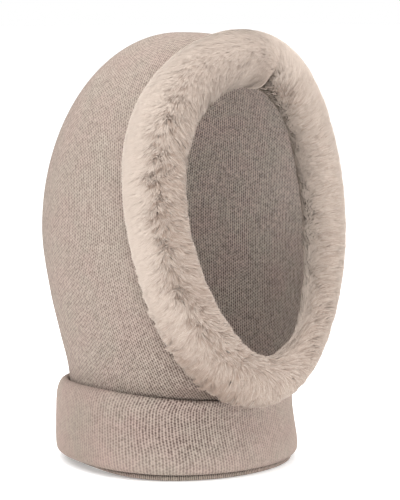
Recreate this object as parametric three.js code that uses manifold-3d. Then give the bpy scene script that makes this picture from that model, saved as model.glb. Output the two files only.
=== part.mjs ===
// A fur-trimmed knitted hood: a lined tube of knit that covers the head and neck, a plush roll round
// the face opening, a turned-up cuff at the neck and a narrow hem fold under it.
// Millimetres, +Z up. The face opening looks towards -Y and the back of the head towards +Y.
// Heights are taken from the bottom of the hem. The whole hood is then moved, so that the origin is
// the place inside the crown where it sits on the top of the head.
import * as THREE from 'three';
import { mergeVertices } from 'three/addons/utils/BufferGeometryUtils.js';
import Module from 'manifold-3d';

// The knitted wall: an outer shell and a lining a little inside it.
const SHELL_THICKNESS = 1.8;
const LINING_THICKNESS = 1.4;
const PIECE_GAP = 0.3;

// Half-sizes of the hood's level sections, measured from a centre line at SECTION_CENTRE_Y.
// square is the exponent of the front half of the section: 2 is an ellipse, 4 is nearly a rectangle.
const SECTION_CENTRE_Y = -4;
const SECTIONS = [
  { height: 0, side: 77.5, back: 82, front: 73, square: 2.1 },
  { height: 48, side: 77, back: 82, front: 64, square: 2.1 },
  { height: 69, side: 78.5, back: 84, front: 90.5, square: 2.3 },
  { height: 92, side: 83, back: 90.5, front: 96, square: 2.6 },
  { height: 125, side: 89, back: 99, front: 96.5, square: 3.3 },
  { height: 168, side: 93, back: 105, front: 91, square: 4.3 },
];
const WIDEST_HEIGHT = SECTIONS[SECTIONS.length - 1].height;
const WIDEST_SQUARE = SECTIONS[SECTIONS.length - 1].square;
const BACK_SQUARE = 2.1;
const SIDE_SQUARE = 2.2;

// The dome above the widest section. Its exponents say how upright it is: the brow is the fullest.
const DOME_HEIGHT = 142;
const DOME_BACK = 2;
const DOME_SIDE = 2;
const DOME_FRONT = 3.05;
const CROWN_SQUARE = 2.3;

// The centre line of the fur roll, an egg-shaped loop that is narrower at the chin.
const LOOP_HALF_WIDTH = 79.8;
const LOOP_CENTRE_HEIGHT = 182.4;
const LOOP_HALF_HEIGHT = 113.8;
const LOOP_EGG = 0.11;
// How far forward the loop lies, by the powers of rise, which runs from -1 at the chin to 1 at the brow.
const LOOP_FORWARD = [-72, 21.7, -9, -8.5, -1.5];

// The roll's oval section. Its long axis turns from outwards towards the back of the head.
const FUR_LONG = 21;
const FUR_SHORT = 16.2;
const FUR_TURN = THREE.MathUtils.degToRad(62);
const FUR_TURN_LOSS = THREE.MathUtils.degToRad(16);
// Where along the loop, in degrees, the roll sits lower, is thicker or thinner, and reaches further
// towards the back of the head. Each change fades away over its width.
const FUR_LOWER = [{ at: 95, width: 45, more: -2.4 }];
const FUR_THICKER = [
  { at: 95, width: 45, more: 4 },
  { at: 318, width: 32, more: -2.6 },
  { at: 215, width: 35, more: 0.6 },
];
const FUR_FULLER = [
  { at: 222, width: 36, more: 2.6 },
  { at: 148, width: 30, more: 1.3 },
];

// The cuff, a doubled band folded over at its top edge. The edge dips under the chin and, less, at
// the nape.
const CUFF_HEIGHT = 61.5;
const CUFF_DIP = 9;
const CUFF_DIP_NARROWING = 4;
const CUFF_NAPE = [{ at: 0, width: 62, more: -6 }];
const CUFF_THICKNESS = 2.4;
const CUFF_INNER = 2;
// The middle line of the fold: how far out from the shell, and how far above the fold's highest line.
const CUFF_FOLD = [
  { offset: CUFF_INNER, rise: -3.5 },
  { offset: 2.8, rise: -0.9 },
  { offset: 4.2, rise: 0 },
  { offset: 6.4, rise: -1.5 },
  { offset: 8.3, rise: -5.4 },
  { offset: 9.5, rise: -13.5 },
];
// The band below the fold: how high, as a share of the fold's height, and how much it follows the
// lift of the bottom edge.
const CUFF_OUTSIDE = [
  { offset: 9.8, share: 0.32, follows: 0.6 },
  { offset: 9.4, share: 0.19, follows: 0.85 },
  { offset: 8.4, share: 0.12, follows: 1 },
  { offset: 5.8, share: 0.105, follows: 1 },
];

// The hem fold that the hood would stand on.
const HEM_HEIGHT = 5.5;
// Its section: how far out from the shell, how high, and how much each point follows the lift.
const HEM_OUTLINE = [
  { offset: -4.4, height: 0, follows: 1 },
  { offset: 3.9, height: 0, follows: 1 },
  { offset: 5.1, height: 1, follows: 1 },
  { offset: 5, height: 2.9, follows: 1 },
  { offset: 3.4, height: 3.7, follows: 0.9 },
  { offset: 1.7, height: 4.6, follows: 0.3 },
  { offset: 0.6, height: HEM_HEIGHT, follows: 0 },
  { offset: -4.2, height: HEM_HEIGHT, follows: 0 },
  { offset: -5.2, height: 4.2, follows: 0.2 },
  { offset: -5.2, height: 1.5, follows: 0.8 },
];
// The bottom edge is drawn up at both sides of the neck, and the hem is narrower there.
const HEM_LIFT = 3.4;
const HEM_LIFT_AT = THREE.MathUtils.degToRad(76);
const HEM_LIFT_WIDTH = THREE.MathUtils.degToRad(36);
const HEM_FLAT = 0.2;
const HEM_NARROWING = 0.25;

// How finely the surfaces are divided.
const COLUMNS = 36;
const CUFFED_HEIGHTS = [HEM_HEIGHT + PIECE_GAP, 24, 41];
const LOWER_HEIGHTS = [...CUFFED_HEIGHTS, 46, 50, 55, 62, 70, 83, 102, 132, WIDEST_HEIGHT];
const DOME_STEPS = 9;
const LOOP_STEPS = 40;
const FUR_SIDES = 12;

const wasm = await Module();
wasm.setup();

const powerOf = (value, exponent) => Math.abs(value) ** exponent;

// The sum of local changes at an angle round a closed line.
function changeAt(angle, changes) {
  return changes.reduce((sum, { at, width, more }) => {
    const away = THREE.MathUtils.euclideanModulo(THREE.MathUtils.radToDeg(angle) - at + 180, 360) - 180;
    return sum + more * Math.exp(-((away / width) ** 2));
  }, 0);
}

// A smooth curve through one column of SECTIONS, level at both ends.
function sectionValue(key, height) {
  const last = SECTIONS.length - 1;
  const slope = (i) => {
    if (i === 0 || i === last) {
      return 0;
    }
    const rise = SECTIONS[i + 1][key] - SECTIONS[i - 1][key];
    return rise / (SECTIONS[i + 1].height - SECTIONS[i - 1].height);
  };
  const above = SECTIONS.findIndex((row) => row.height >= height);
  const i = Math.max(0, above - 1);
  const span = SECTIONS[i + 1].height - SECTIONS[i].height;
  const t = (height - SECTIONS[i].height) / span;
  const from = (2 * t ** 3 - 3 * t ** 2 + 1) * SECTIONS[i][key];
  const to = (3 * t ** 2 - 2 * t ** 3) * SECTIONS[i + 1][key];
  const leaving = (t ** 3 - 2 * t ** 2 + t) * span * slope(i);
  const arriving = (t ** 3 - t ** 2) * span * slope(i + 1);
  return from + to + leaving + arriving;
}

// A value that eases from the back (turn 0) through the side to the front (turn pi).
function around(turn, back, side, front) {
  const cosine = Math.cos(turn);
  const behind = Math.max(cosine, 0) ** 2;
  const before = Math.max(-cosine, 0) ** 2;
  return side + (back - side) * behind + (front - side) * before;
}

// The outer surface. level runs from 0 at the bottom to 1 at the widest section and 2 at the crown.
function hoodPoint(turn, level) {
  const height = Math.min(level, 1) * WIDEST_HEIGHT;
  const lift = Math.max(level - 1, 0) * Math.PI / 2;
  const cosine = Math.cos(turn);
  const sine = Math.sin(turn);
  const square = sectionValue('square', height);
  const frontSquare = square + (CROWN_SQUARE - square) * Math.sin(lift) ** 2;
  const fullness = (frontSquare - BACK_SQUARE) / (WIDEST_SQUARE - BACK_SQUARE);
  const sideSquare = BACK_SQUARE + (SIDE_SQUARE - BACK_SQUARE) * fullness;
  const exponent = around(turn, BACK_SQUARE, sideSquare, frontSquare);
  const reach = (powerOf(cosine, exponent) + powerOf(sine, exponent)) ** (-1 / exponent);
  const dome = around(turn, DOME_BACK, DOME_SIDE, DOME_FRONT);
  const arch = (powerOf(Math.cos(lift), dome) + powerOf(Math.sin(lift), dome)) ** (-1 / dome);
  const inward = Math.cos(lift) * arch;
  const depth = sectionValue(cosine >= 0 ? 'back' : 'front', height);
  return new THREE.Vector3(
    sectionValue('side', height) * inward * reach * sine,
    SECTION_CENTRE_Y + depth * inward * reach * cosine,
    height + DOME_HEIGHT * Math.sin(lift) * arch,
  );
}

// The outward direction of that surface, from two short steps along it.
function hoodNormal(turn, level) {
  const step = 1e-3;
  const aside = hoodPoint(turn + step, level).sub(hoodPoint(turn - step, level));
  const upper = Math.min(level + step, 2 - step);
  const lower = Math.max(level - step, 0);
  const upward = hoodPoint(turn, upper).sub(hoodPoint(turn, lower));
  return upward.cross(aside).normalize();
}

// Six times the volume inside a closed surface, negative when its faces point inwards.
function signedVolume(points, triangles) {
  let sum = 0;
  for (let i = 0; i < triangles.length; i += 3) {
    const [a, b, c] = [points[triangles[i]], points[triangles[i + 1]], points[triangles[i + 2]]];
    sum += a.dot(b.clone().cross(c));
  }
  return sum;
}

// Rings of equal length joined into one closed surface that faces outwards. The last ring is joined
// to the first, unless two points are given as ends: each end is then closed by a fan to its point.
function skin(rings, ends) {
  const count = rings[0].length;
  const points = rings.flat();
  const triangles = [];
  const joined = ends ? rings.length - 1 : rings.length;
  for (let i = 0; i < joined; i += 1) {
    const here = i * count;
    const there = ((i + 1) % rings.length) * count;
    for (let j = 0; j < count; j += 1) {
      const next = (j + 1) % count;
      triangles.push(here + j, here + next, there + next);
      triangles.push(here + j, there + next, there + j);
    }
  }
  if (ends) {
    const top = points.length - count;
    points.push(...ends);
    for (let j = 0; j < count; j += 1) {
      const next = (j + 1) % count;
      triangles.push(points.length - 2, next, j);
      triangles.push(points.length - 1, top + j, top + next);
    }
  }
  if (signedVolume(points, triangles) < 0) {
    triangles.reverse();
  }
  const coordinates = points.flatMap((point) => point.toArray());
  const geometry = new THREE.BufferGeometry();
  geometry.setAttribute('position', new THREE.Float32BufferAttribute(coordinates, 3));
  geometry.setIndex(triangles);
  return geometry;
}

function solidOf(geometry) {
  const bare = geometry.clone();
  bare.deleteAttribute('normal');
  bare.deleteAttribute('uv');
  const merged = mergeVertices(bare);
  const mesh = new wasm.Mesh({
    numProp: 3,
    vertProperties: merged.attributes.position.array,
    triVerts: new Uint32Array(merged.index.array),
  });
  return new wasm.Manifold(mesh);
}

function geometryOf(solid) {
  const mesh = solid.getMesh();
  const geometry = new THREE.BufferGeometry();
  geometry.setAttribute('position', new THREE.BufferAttribute(mesh.vertProperties, 3));
  geometry.setIndex(new THREE.BufferAttribute(mesh.triVerts, 1));
  return geometry;
}

const largestBody = (solid) => solid.decompose().sort((a, b) => b.volume() - a.volume())[0];

const turns = Array.from({ length: COLUMNS }, (_, i) => 2 * Math.PI * i / COLUMNS);

// The hood's form as a full solid, its surface drawn in by inset and its foot carried down by drop.
function hoodSolid(inset, drop) {
  const levels = LOWER_HEIGHTS.map((height) => height / WIDEST_HEIGHT);
  for (let i = 1; i < DOME_STEPS; i += 1) {
    levels.push(1 + i / DOME_STEPS);
  }
  const rings = levels.map((level) => turns.map((turn) => (
    hoodPoint(turn, level).addScaledVector(hoodNormal(turn, level), -inset)
  )));
  rings[0].forEach((point) => point.setZ(LOWER_HEIGHTS[0]));
  if (drop > 0) {
    rings.unshift(rings[0].map((point) => point.clone().setZ(LOWER_HEIGHTS[0] - drop)));
  }
  const foot = new THREE.Vector3(0, SECTION_CENTRE_Y, LOWER_HEIGHTS[0] - drop);
  const crown = new THREE.Vector3(0, SECTION_CENTRE_Y, WIDEST_HEIGHT + DOME_HEIGHT - inset);
  return solidOf(skin(rings, [foot, crown]));
}

// A point of the fur roll's centre line, at an angle that is 0 at the +X side and 90 degrees at the brow.
function loopPoint(angle) {
  const rise = Math.sin(angle);
  const forward = LOOP_FORWARD.reduce((sum, part, power) => sum + part * rise ** power, 0);
  return new THREE.Vector3(
    LOOP_HALF_WIDTH * Math.cos(angle) * (1 + LOOP_EGG * rise),
    forward,
    LOOP_CENTRE_HEIGHT + LOOP_HALF_HEIGHT * rise + changeAt(angle, FUR_LOWER),
  );
}

const loopAngles = Array.from({ length: LOOP_STEPS }, (_, i) => 2 * Math.PI * i / LOOP_STEPS);

// The fur roll, its section grown all round by extra.
function furRoll(extra) {
  const backward = new THREE.Vector3(0, 1, 0);
  const rings = loopAngles.map((angle) => {
    const step = 1e-3;
    const along = loopPoint(angle + step).sub(loopPoint(angle - step)).setY(0).normalize();
    const outward = new THREE.Vector3(along.z, 0, -along.x);
    const rise = Math.sin(angle);
    const turn = FUR_TURN - FUR_TURN_LOSS * rise ** 2;
    const [cosine, sine] = [Math.cos(turn), Math.sin(turn)];
    const longAxis = outward.clone().multiplyScalar(cosine).addScaledVector(backward, sine);
    const shortAxis = outward.clone().multiplyScalar(-sine).addScaledVector(backward, cosine);
    const shortHalf = FUR_SHORT + changeAt(angle, FUR_THICKER) + extra;
    const fuller = changeAt(angle, FUR_FULLER);
    return Array.from({ length: FUR_SIDES }, (_, side) => {
      const spin = 2 * Math.PI * side / FUR_SIDES;
      return loopPoint(angle)
        .addScaledVector(longAxis, (FUR_LONG + fuller + extra) * Math.cos(spin) + fuller)
        .addScaledVector(shortAxis, shortHalf * Math.sin(spin));
    });
  });
  return skin(rings);
}

// What is cut out of the knit for the face: the loop's outline, swept through the front of the hood.
function faceCutter() {
  const outline = new THREE.Shape(loopAngles.map((angle) => {
    const point = loopPoint(angle);
    return new THREE.Vector2(point.x, point.z);
  }));
  const reach = 150;
  const behindFace = -30;
  const cutter = new THREE.ExtrudeGeometry(outline, { depth: reach, bevelEnabled: false });
  cutter.rotateX(Math.PI / 2);
  cutter.translate(0, behindFace, 0);
  return solidOf(cutter);
}

// One layer of knit between two insets, open at the neck and at the face.
function knitLayer(inset, thickness) {
  const hollow = hoodSolid(inset + thickness, HEM_HEIGHT);
  const opening = faceCutter();
  const furSeat = solidOf(furRoll(PIECE_GAP));
  const wall = hoodSolid(inset, 0).subtract(hollow).subtract(opening).subtract(furSeat);
  return geometryOf(largestBody(wall));
}

// A point at a height beside the neck, offset level from the shell's outer surface.
function besideNeck(turn, height, offset) {
  const level = height / WIDEST_HEIGHT;
  const outward = hoodNormal(turn, level).setZ(0).normalize();
  return hoodPoint(turn, level).addScaledVector(outward, offset);
}

// A ring round the neck, swept from a section of { offset, height } points that may change with the turn.
function neckRing(sectionAt) {
  return skin(turns.map((turn) => (
    sectionAt(turn).map(({ offset, height }) => besideNeck(turn, height, offset))
  )));
}

// The height of the cuff's upper edge.
function cuffTop(turn) {
  const dip = CUFF_DIP * ((1 - Math.cos(turn)) / 2) ** CUFF_DIP_NARROWING;
  return CUFF_HEIGHT - dip + changeAt(turn, CUFF_NAPE);
}

// How far the bottom edge of the hood is drawn up: not at all in front and at the back.
function hemLift(turn) {
  const away = Math.abs(Math.atan2(Math.sin(turn), Math.cos(turn))) - HEM_LIFT_AT;
  return Math.max(HEM_LIFT * Math.exp(-((away / HEM_LIFT_WIDTH) ** 2)) - HEM_FLAT, 0);
}

// The middle line of the cuff's band, up the inside, over the fold and down the outside.
function cuffPath(turn) {
  const crest = cuffTop(turn) - CUFF_THICKNESS / 2;
  return [
    ...CUFFED_HEIGHTS.map((height) => ({ offset: CUFF_INNER, height })),
    ...CUFF_FOLD.map(({ offset, rise }) => ({ offset, height: crest + rise })),
    ...CUFF_OUTSIDE.map(({ offset, share, follows }) => (
      { offset, height: crest * share + follows * hemLift(turn) }
    )),
  ];
}

// The band's section: its middle line with half the thickness laid off on both sides.
function cuffSection(turn) {
  const path = cuffPath(turn);
  const edge = (side) => path.map((point, i) => {
    const before = path[Math.max(i - 1, 0)];
    const after = path[Math.min(i + 1, path.length - 1)];
    const run = Math.hypot(after.offset - before.offset, after.height - before.height);
    const reach = side * CUFF_THICKNESS / 2 / run;
    return {
      offset: point.offset + (after.height - before.height) * reach,
      height: point.height - (after.offset - before.offset) * reach,
    };
  });
  return [...edge(-1), ...edge(1).reverse()];
}

// The hem's section.
function hemSection(turn) {
  const lift = hemLift(turn);
  return HEM_OUTLINE.map(({ offset, height, follows }) => ({
    offset: offset - HEM_NARROWING * lift * Math.max(offset, 0),
    height: height + follows * lift * (1 - height / HEM_HEIGHT),
  }));
}

function piece(name, geometry, color, roughness) {
  const mesh = new THREE.Mesh(geometry, new THREE.MeshStandardMaterial({ color, roughness, metalness: 0 }));
  mesh.name = name;
  return mesh;
}

const liningInset = SHELL_THICKNESS + PIECE_GAP;
const hood = new THREE.Group();
hood.add(piece('hood_shell', knitLayer(0, SHELL_THICKNESS), 0xbaa99c, 0.95));
hood.add(piece('lining', knitLayer(liningInset, LINING_THICKNESS), 0x96887f, 0.95));
hood.add(piece('fur_trim', furRoll(0), 0xcbbbae, 0.9));
hood.add(piece('cuff_band', neckRing(cuffSection), 0xb2a194, 0.95));
hood.add(piece('hem_roll', neckRing(hemSection), 0xa89789, 0.95));

// The head meets the lining at the inside of the crown, which becomes the origin.
const seatHeight = WIDEST_HEIGHT + DOME_HEIGHT - liningInset - LINING_THICKNESS;
hood.position.set(0, -SECTION_CENTRE_Y, -seatHeight);

export default hood;
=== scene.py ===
# %% [markdown]
# # A knitted hood with a plush trim
#
# This lesson builds a soft winter hood in Blender: a knitted shell and its lining, a deep plush roll
# round the face, a turned-up cuff and a narrow hem fold. Each step first says what the piece is on a
# real hood and how it could be made, and then makes it in a few short cells.
#
# Five pieces take the places of the packed model's plain solids, and four pieces of pile cover the roll.

# %% Load the packed model
import math

import bmesh
import bpy
import numpy as np
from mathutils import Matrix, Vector, kdtree


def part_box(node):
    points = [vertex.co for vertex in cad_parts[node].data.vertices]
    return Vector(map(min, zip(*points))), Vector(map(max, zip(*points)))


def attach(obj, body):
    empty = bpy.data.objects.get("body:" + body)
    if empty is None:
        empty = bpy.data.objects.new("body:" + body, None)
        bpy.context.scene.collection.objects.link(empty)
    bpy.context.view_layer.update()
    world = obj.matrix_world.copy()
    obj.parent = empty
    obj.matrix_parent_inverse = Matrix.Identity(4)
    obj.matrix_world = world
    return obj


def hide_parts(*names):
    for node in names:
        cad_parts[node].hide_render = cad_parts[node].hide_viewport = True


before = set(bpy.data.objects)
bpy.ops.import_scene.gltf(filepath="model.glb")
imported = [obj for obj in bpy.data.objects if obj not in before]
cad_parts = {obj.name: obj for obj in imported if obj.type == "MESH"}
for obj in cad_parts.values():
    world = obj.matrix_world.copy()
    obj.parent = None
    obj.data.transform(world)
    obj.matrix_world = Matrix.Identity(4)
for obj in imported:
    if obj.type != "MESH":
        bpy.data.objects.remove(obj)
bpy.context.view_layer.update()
hem_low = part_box("hem_roll")[0]
print("packed nodes:", sorted(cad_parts), "lowest point", round(hem_low[2], 4))

# %% [markdown]
# ## The frame of the hood
#
# The shapes are easiest to write in millimetres with heights taken from the bottom of the hem, the
# centre of the neck just behind zero and the face towards -Y. The packed model has its origin inside
# the crown, so one shift and one scale take every point across. The shift is read from the hem's box.

# %% Millimetres from the hem, and the shift to the packed frame
MM = 0.001
SHIFT = np.array([0.0, 4.0, hem_low[2] / MM])


def placed(points):
    """Points in hood millimetres, moved to the packed frame in metres."""
    return (np.asarray(points) + SHIFT) * MM


print("shift in mm:", SHIFT.round(2))

# %% [markdown]
# ## Camera, light and floor
#
# A hood shows most of itself three quarters from the front, a little above its middle, through a long
# lens that keeps its sides parallel. A white surround fills every hollow softly, and five large soft
# panels add to it. One overhead and one high on the near side give the round forms their shade, and
# three weaker ones low down keep the front of the roll and the cuff bright. The floor is a pale sheet at
# the foot of the hem. A little light of its own keeps it as pale as the room, with a faint shadow.

# %% The camera
AZIMUTH, ELEVATION, DISTANCE = math.radians(-42.0), math.radians(6.68), 1.5
camera_right = np.array([math.cos(AZIMUTH), math.sin(AZIMUTH), 0.0])
to_camera = np.array([
    math.sin(AZIMUTH) * math.cos(ELEVATION),
    -math.cos(AZIMUTH) * math.cos(ELEVATION),
    math.sin(ELEVATION),
])
AIM_ASIDE, AIM_HEIGHT = 17.3, 152.7
SENSOR, LENS = 36, 147.95
aim = placed(AIM_ASIDE * camera_right + [0, 0, AIM_HEIGHT])


def show(name, data):
    """A new object of the scene with this data."""
    thing = bpy.data.objects.new(name, data)
    bpy.context.scene.collection.objects.link(thing)
    return thing


camera = show("camera", bpy.data.cameras.new("camera"))
camera.location = aim + DISTANCE * to_camera
camera.rotation_euler = Vector(-to_camera).to_track_quat("-Z", "Y").to_euler()
camera.data.sensor_fit = "VERTICAL"
camera.data.sensor_height = SENSOR
camera.data.lens = LENS
bpy.context.scene.camera = camera
print("camera at", [round(c, 3) for c in camera.location])

# %% The surround and the soft panels
bpy.context.scene.view_settings.view_transform = "Standard"
world = bpy.data.worlds.new("white room")
world.use_nodes = True
world.node_tree.nodes["Background"].inputs["Color"].default_value = (1.0, 1.0, 1.0, 1)
world.node_tree.nodes["Background"].inputs["Strength"].default_value = 1.0
bpy.context.scene.world = world

MIDDLE = Vector((0, 0, -0.15))
PANEL_AWAY, PANEL_SIZE = 1.8, 1.2


def soft_panel(name, azimuth, elevation, watts):
    """A square area light that looks at the middle of the hood."""
    lamp = bpy.data.lights.new(name, "AREA")
    lamp.size, lamp.energy = PANEL_SIZE, watts
    panel = show(name, lamp)
    a, e = math.radians(azimuth), math.radians(elevation)
    way = Vector((math.sin(a) * math.cos(e), -math.cos(a) * math.cos(e), math.sin(e)))
    panel.location = MIDDLE + PANEL_AWAY * way
    panel.rotation_euler = (-way).to_track_quat("-Z", "Y").to_euler()


soft_panel("panel overhead", 0, 85, 28)
soft_panel("panel high on the near side", -90, 50, 14)
soft_panel("panel low on the near side", -50, 15, 9)
soft_panel("panel low on the far side", 35, 15, 9)
soft_panel("panel beside the far side", 95, 15, 5)

# %% The floor
FLOOR_HALF, FLOOR_GAP = 30.0, 0.0002
bm = bmesh.new()
bmesh.ops.create_grid(bm, x_segments=2, y_segments=2, size=FLOOR_HALF)
bmesh.ops.translate(bm, verts=bm.verts, vec=(0, 0, hem_low[2] - FLOOR_GAP))
floor = show("floor", bpy.data.meshes.new("floor"))
bm.to_mesh(floor.data)
bm.free()
print("floor at", round(hem_low[2], 4))

# %% [markdown]
# ## A small language for shaders
#
# A shader's sums are easier to read as sums than as a web of nodes. The first class wraps a socket of
# a material, and each operator adds the Math node that does it. Any other node comes from a method of
# the second, which takes the node's type, its settings and the values of its inputs.

# %% Sockets that add up
class Value:
    """A number that changes over the surface, written in formulas."""

    def __init__(self, tree, socket):
        self.tree, self.socket = tree, socket

    def math(self, operation, *others):
        """A Math node that takes this value first."""
        node = self.tree.nodes.new("ShaderNodeMath")
        node.operation = operation
        for slot, other in zip(node.inputs, (self, *others)):
            if isinstance(other, Value):
                self.tree.links.new(other.socket, slot)
            else:
                slot.default_value = other
        return Value(self.tree, node.outputs[0])

    def __add__(self, other):
        return self.math("ADD", other)

    __radd__ = __add__

    def __sub__(self, other):
        return self.math("SUBTRACT", other)

    def __rsub__(self, other):
        return self.math("MULTIPLY", -1.0).math("ADD", other)

    def __mul__(self, other):
        return self.math("MULTIPLY", other)

    __rmul__ = __mul__

    def __truediv__(self, other):
        return self.math("DIVIDE", other)

    def cosine(self):
        return self.math("COSINE")

    def limited(self):
        """The value kept between 0 and 1."""
        return self.math("MINIMUM", 1.0).math("MAXIMUM", 0.0)


print("a value can be:", [way for way in vars(Value) if way[0] != "_"])


# %% A finish whose nodes are added by name
class Finish:
    """A material whose nodes are added by name."""

    def __init__(self, name):
        self.material = bpy.data.materials.new(name)
        self.material.use_nodes = True
        self.tree = self.material.node_tree
        self.shader = self.tree.nodes["Principled BSDF"]

    def node(self, kind, settings=None, **inputs):
        """Any node: its settings first, and then the values or links of its sockets."""
        node = self.tree.nodes.new(kind)
        for key, setting in (settings or {}).items():
            setattr(node, key, setting)
        for key, given in inputs.items():
            self.put(node.inputs[key.replace("_", " ")], given)
        return node

    def put(self, slot, given):
        """Links a socket, or sets its own value."""
        if isinstance(given, Value):
            self.tree.links.new(given.socket, slot)
        elif isinstance(given, bpy.types.NodeSocket):
            self.tree.links.new(given, slot)
        else:
            slot.default_value = given

    def mark(self, name):
        """A number that is kept on the points of the mesh."""
        return Value(self.tree, self.node("ShaderNodeAttribute", {"attribute_name": name}).outputs["Fac"])

    def noise(self, scale, detail=2.0, roughness=0.5):
        """Noise on the hood's own coordinates, from 0 to 1, centred on one half."""
        texture = self.node("ShaderNodeTexNoise", Scale=scale, Detail=detail, Roughness=roughness)
        self.put(texture.inputs["Vector"], self.node("ShaderNodeTexCoord").outputs["Object"])
        return Value(self.tree, texture.outputs[0])

    def between(self, amount, first, second):
        """A colour that goes from first to second as amount goes from 0 to 1."""
        node = self.node("ShaderNodeMix", {"data_type": "RGBA"})
        self.put(node.inputs[0], amount)
        self.put(node.inputs[6], first)
        self.put(node.inputs[7], second)
        return node.outputs[2]

    def surface(self, **inputs):
        """Values or links of the Principled shader's sockets."""
        for key, given in inputs.items():
            self.put(self.shader.inputs[key.replace("_", " ")], given)

    def relief(self, height, distance):
        """A Bump node that feeds the shader's Normal."""
        bump = self.node("ShaderNodeBump", Height=height, Distance=distance, Strength=1.0)
        self.put(self.shader.inputs["Normal"], bump.outputs[0])


print("a finish can have:", [way for way in vars(Finish) if way[0] != "_"])

# %% The floor's finish
pale = Finish("pale floor")
pale.surface(Base_Color=(0.985, 0.985, 0.985, 1), Roughness=0.9)
pale.surface(Emission_Color=(1, 1, 1, 1), Emission_Strength=0.2)
floor.data.materials.append(pale.material)
print("finishes so far:", [m.name for m in bpy.data.materials])

# %% [markdown]
# ## The form of the hood
#
# The hood is drawn by its level sections. Each is a rounded outline with its own half-width and its
# own depth before and behind the centre line, and the outline squares up towards the brow, where the
# knit is drawn over the roll. Above the widest section the outline closes in over the crown. One
# function gives the place on the surface for a turn round the head and a level up it. Every knitted
# piece uses it, so they all fit each other.

# %% The level sections
SECTION_CENTRE = -4.0
HEIGHTS = np.array([0.0, 48, 69, 92, 125, 168])
SECTIONS = {
    "side": [77.5, 77, 78.5, 83, 89, 93],
    "back": [82, 82, 84, 90.5, 99, 105],
    "front": [73, 64, 90.5, 96, 96.5, 91],
    "square": [2.1, 2.1, 2.3, 2.6, 3.3, 4.3],
}
WIDEST, DOME = 168.0, 143.0


def section_value(key, height):
    """A smooth curve through one row of SECTIONS, level at both ends."""
    values = np.array(SECTIONS[key], float)
    slopes = np.zeros(len(values))
    slopes[1:-1] = (values[2:] - values[:-2]) / (HEIGHTS[2:] - HEIGHTS[:-2])
    i = np.clip(np.searchsorted(HEIGHTS, height) - 1, 0, len(values) - 2)
    span = HEIGHTS[i + 1] - HEIGHTS[i]
    t = (height - HEIGHTS[i]) / span
    return (
        (2 * t**3 - 3 * t**2 + 1) * values[i]
        + (3 * t**2 - 2 * t**3) * values[i + 1]
        + (t**3 - 2 * t**2 + t) * span * slopes[i]
        + (t**3 - t**2) * span * slopes[i + 1]
    )


def around(cosine, back, side, front):
    """A value that eases from the back through the side to the front."""
    return side + (back - side) * np.maximum(cosine, 0) ** 2 + (front - side) * np.maximum(-cosine, 0) ** 2


print("widest half-width:", section_value("side", np.array([168.0])))


# %% The place on the surface
# 2 draws a true ellipse, and more draws a squarer one. Where the front is squarer than the back by
# FRONT_MORE, the sides are by SIDE_MORE.
BACK_SQUARE, CROWN_SQUARE, BROW_SQUARE = 2.1, 2.3, 3.05
SIDE_MORE, FRONT_MORE = 0.1, 2.2


def hood_point(turn, level):
    """Outer surface. turn is 0 at the back; level is 0 at the hem, 1 at the widest and 2 at the crown."""
    turn, level = np.broadcast_arrays(np.asarray(turn, float), np.asarray(level, float))
    height = np.minimum(level, 1) * WIDEST
    lift = np.clip(level - 1, 0, 1) * np.pi / 2
    cosine, sine = np.cos(turn), np.sin(turn)
    square = section_value("square", height)
    front_square = square + (CROWN_SQUARE - square) * np.sin(lift) ** 2
    side_square = BACK_SQUARE + SIDE_MORE * (front_square - BACK_SQUARE) / FRONT_MORE
    power = around(cosine, BACK_SQUARE, side_square, front_square)
    reach = (np.abs(cosine) ** power + np.abs(sine) ** power) ** (-1 / power)
    dome = around(cosine, 2.0, 2.0, BROW_SQUARE)
    arch = (np.abs(np.cos(lift)) ** dome + np.sin(lift) ** dome) ** (-1 / dome)
    inward = np.cos(lift) * arch
    depth = np.where(cosine >= 0, section_value("back", height), section_value("front", height))
    return np.stack([
        section_value("side", height) * inward * reach * sine,
        SECTION_CENTRE + depth * inward * reach * cosine,
        height + DOME * np.sin(lift) * arch,
    ], -1)


def unit(vectors):
    return vectors / np.maximum(np.linalg.norm(vectors, axis=-1, keepdims=True), 1e-9)


def hood_normal(turn, level):
    """The outward direction of that surface, from short steps along it."""
    step = 1e-3
    aside = hood_point(turn + step, level) - hood_point(turn - step, level)
    above, below = np.minimum(level + step, 2 - step), np.maximum(level - step, 0)
    return unit(np.cross(hood_point(turn, above) - hood_point(turn, below), aside))


print("crown of the shell:", hood_point(0.0, 2.0).round(1))

# %% [markdown]
# ## The line of the trim
#
# The plush roll follows an egg-shaped loop round the face, narrower at the chin, which leans back a
# little from the chin to the brow. Its section is an oval whose long side lies back against the knit.
# The knit has to end under the roll, so the loop comes before the knit.

# %% The loop
LOOP_MIDDLE, LOOP_RISE, LOOP_WIDTH, LOOP_FLARE = 182.4, 113.8, 79.8, 0.11


def bump_at(value, centre, width):
    """1 at the centre, falling smoothly to 0 over the width."""
    return np.exp(-(((value - centre) / width) ** 2))


def turned(value, centre):
    """An angle measured from centre, between minus and plus half a turn."""
    return (value - centre + np.pi) % (2 * np.pi) - np.pi


def near_angle(angle, degrees, width):
    """1 at an angle in degrees, falling smoothly to 0 over the width."""
    return bump_at(turned(angle, np.radians(degrees)), 0, np.radians(width))


def loop_point(angle):
    """The roll's centre line; angle is 0 at the +X side and 90 degrees at the brow."""
    rise = np.sin(angle)
    forward = -72 + 21.7 * rise - 9 * rise**2 - 8.5 * rise**3 - 1.5 * rise**4
    height = LOOP_MIDDLE + LOOP_RISE * rise - 2.4 * near_angle(angle, 95, 45)
    return np.stack([LOOP_WIDTH * np.cos(angle) * (1 + LOOP_FLARE * rise), forward, height], -1)


print("brow of the loop:", loop_point(np.array(np.pi / 2)).round(1))


# %% The oval section
OVAL_LONG = 21.0


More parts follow.
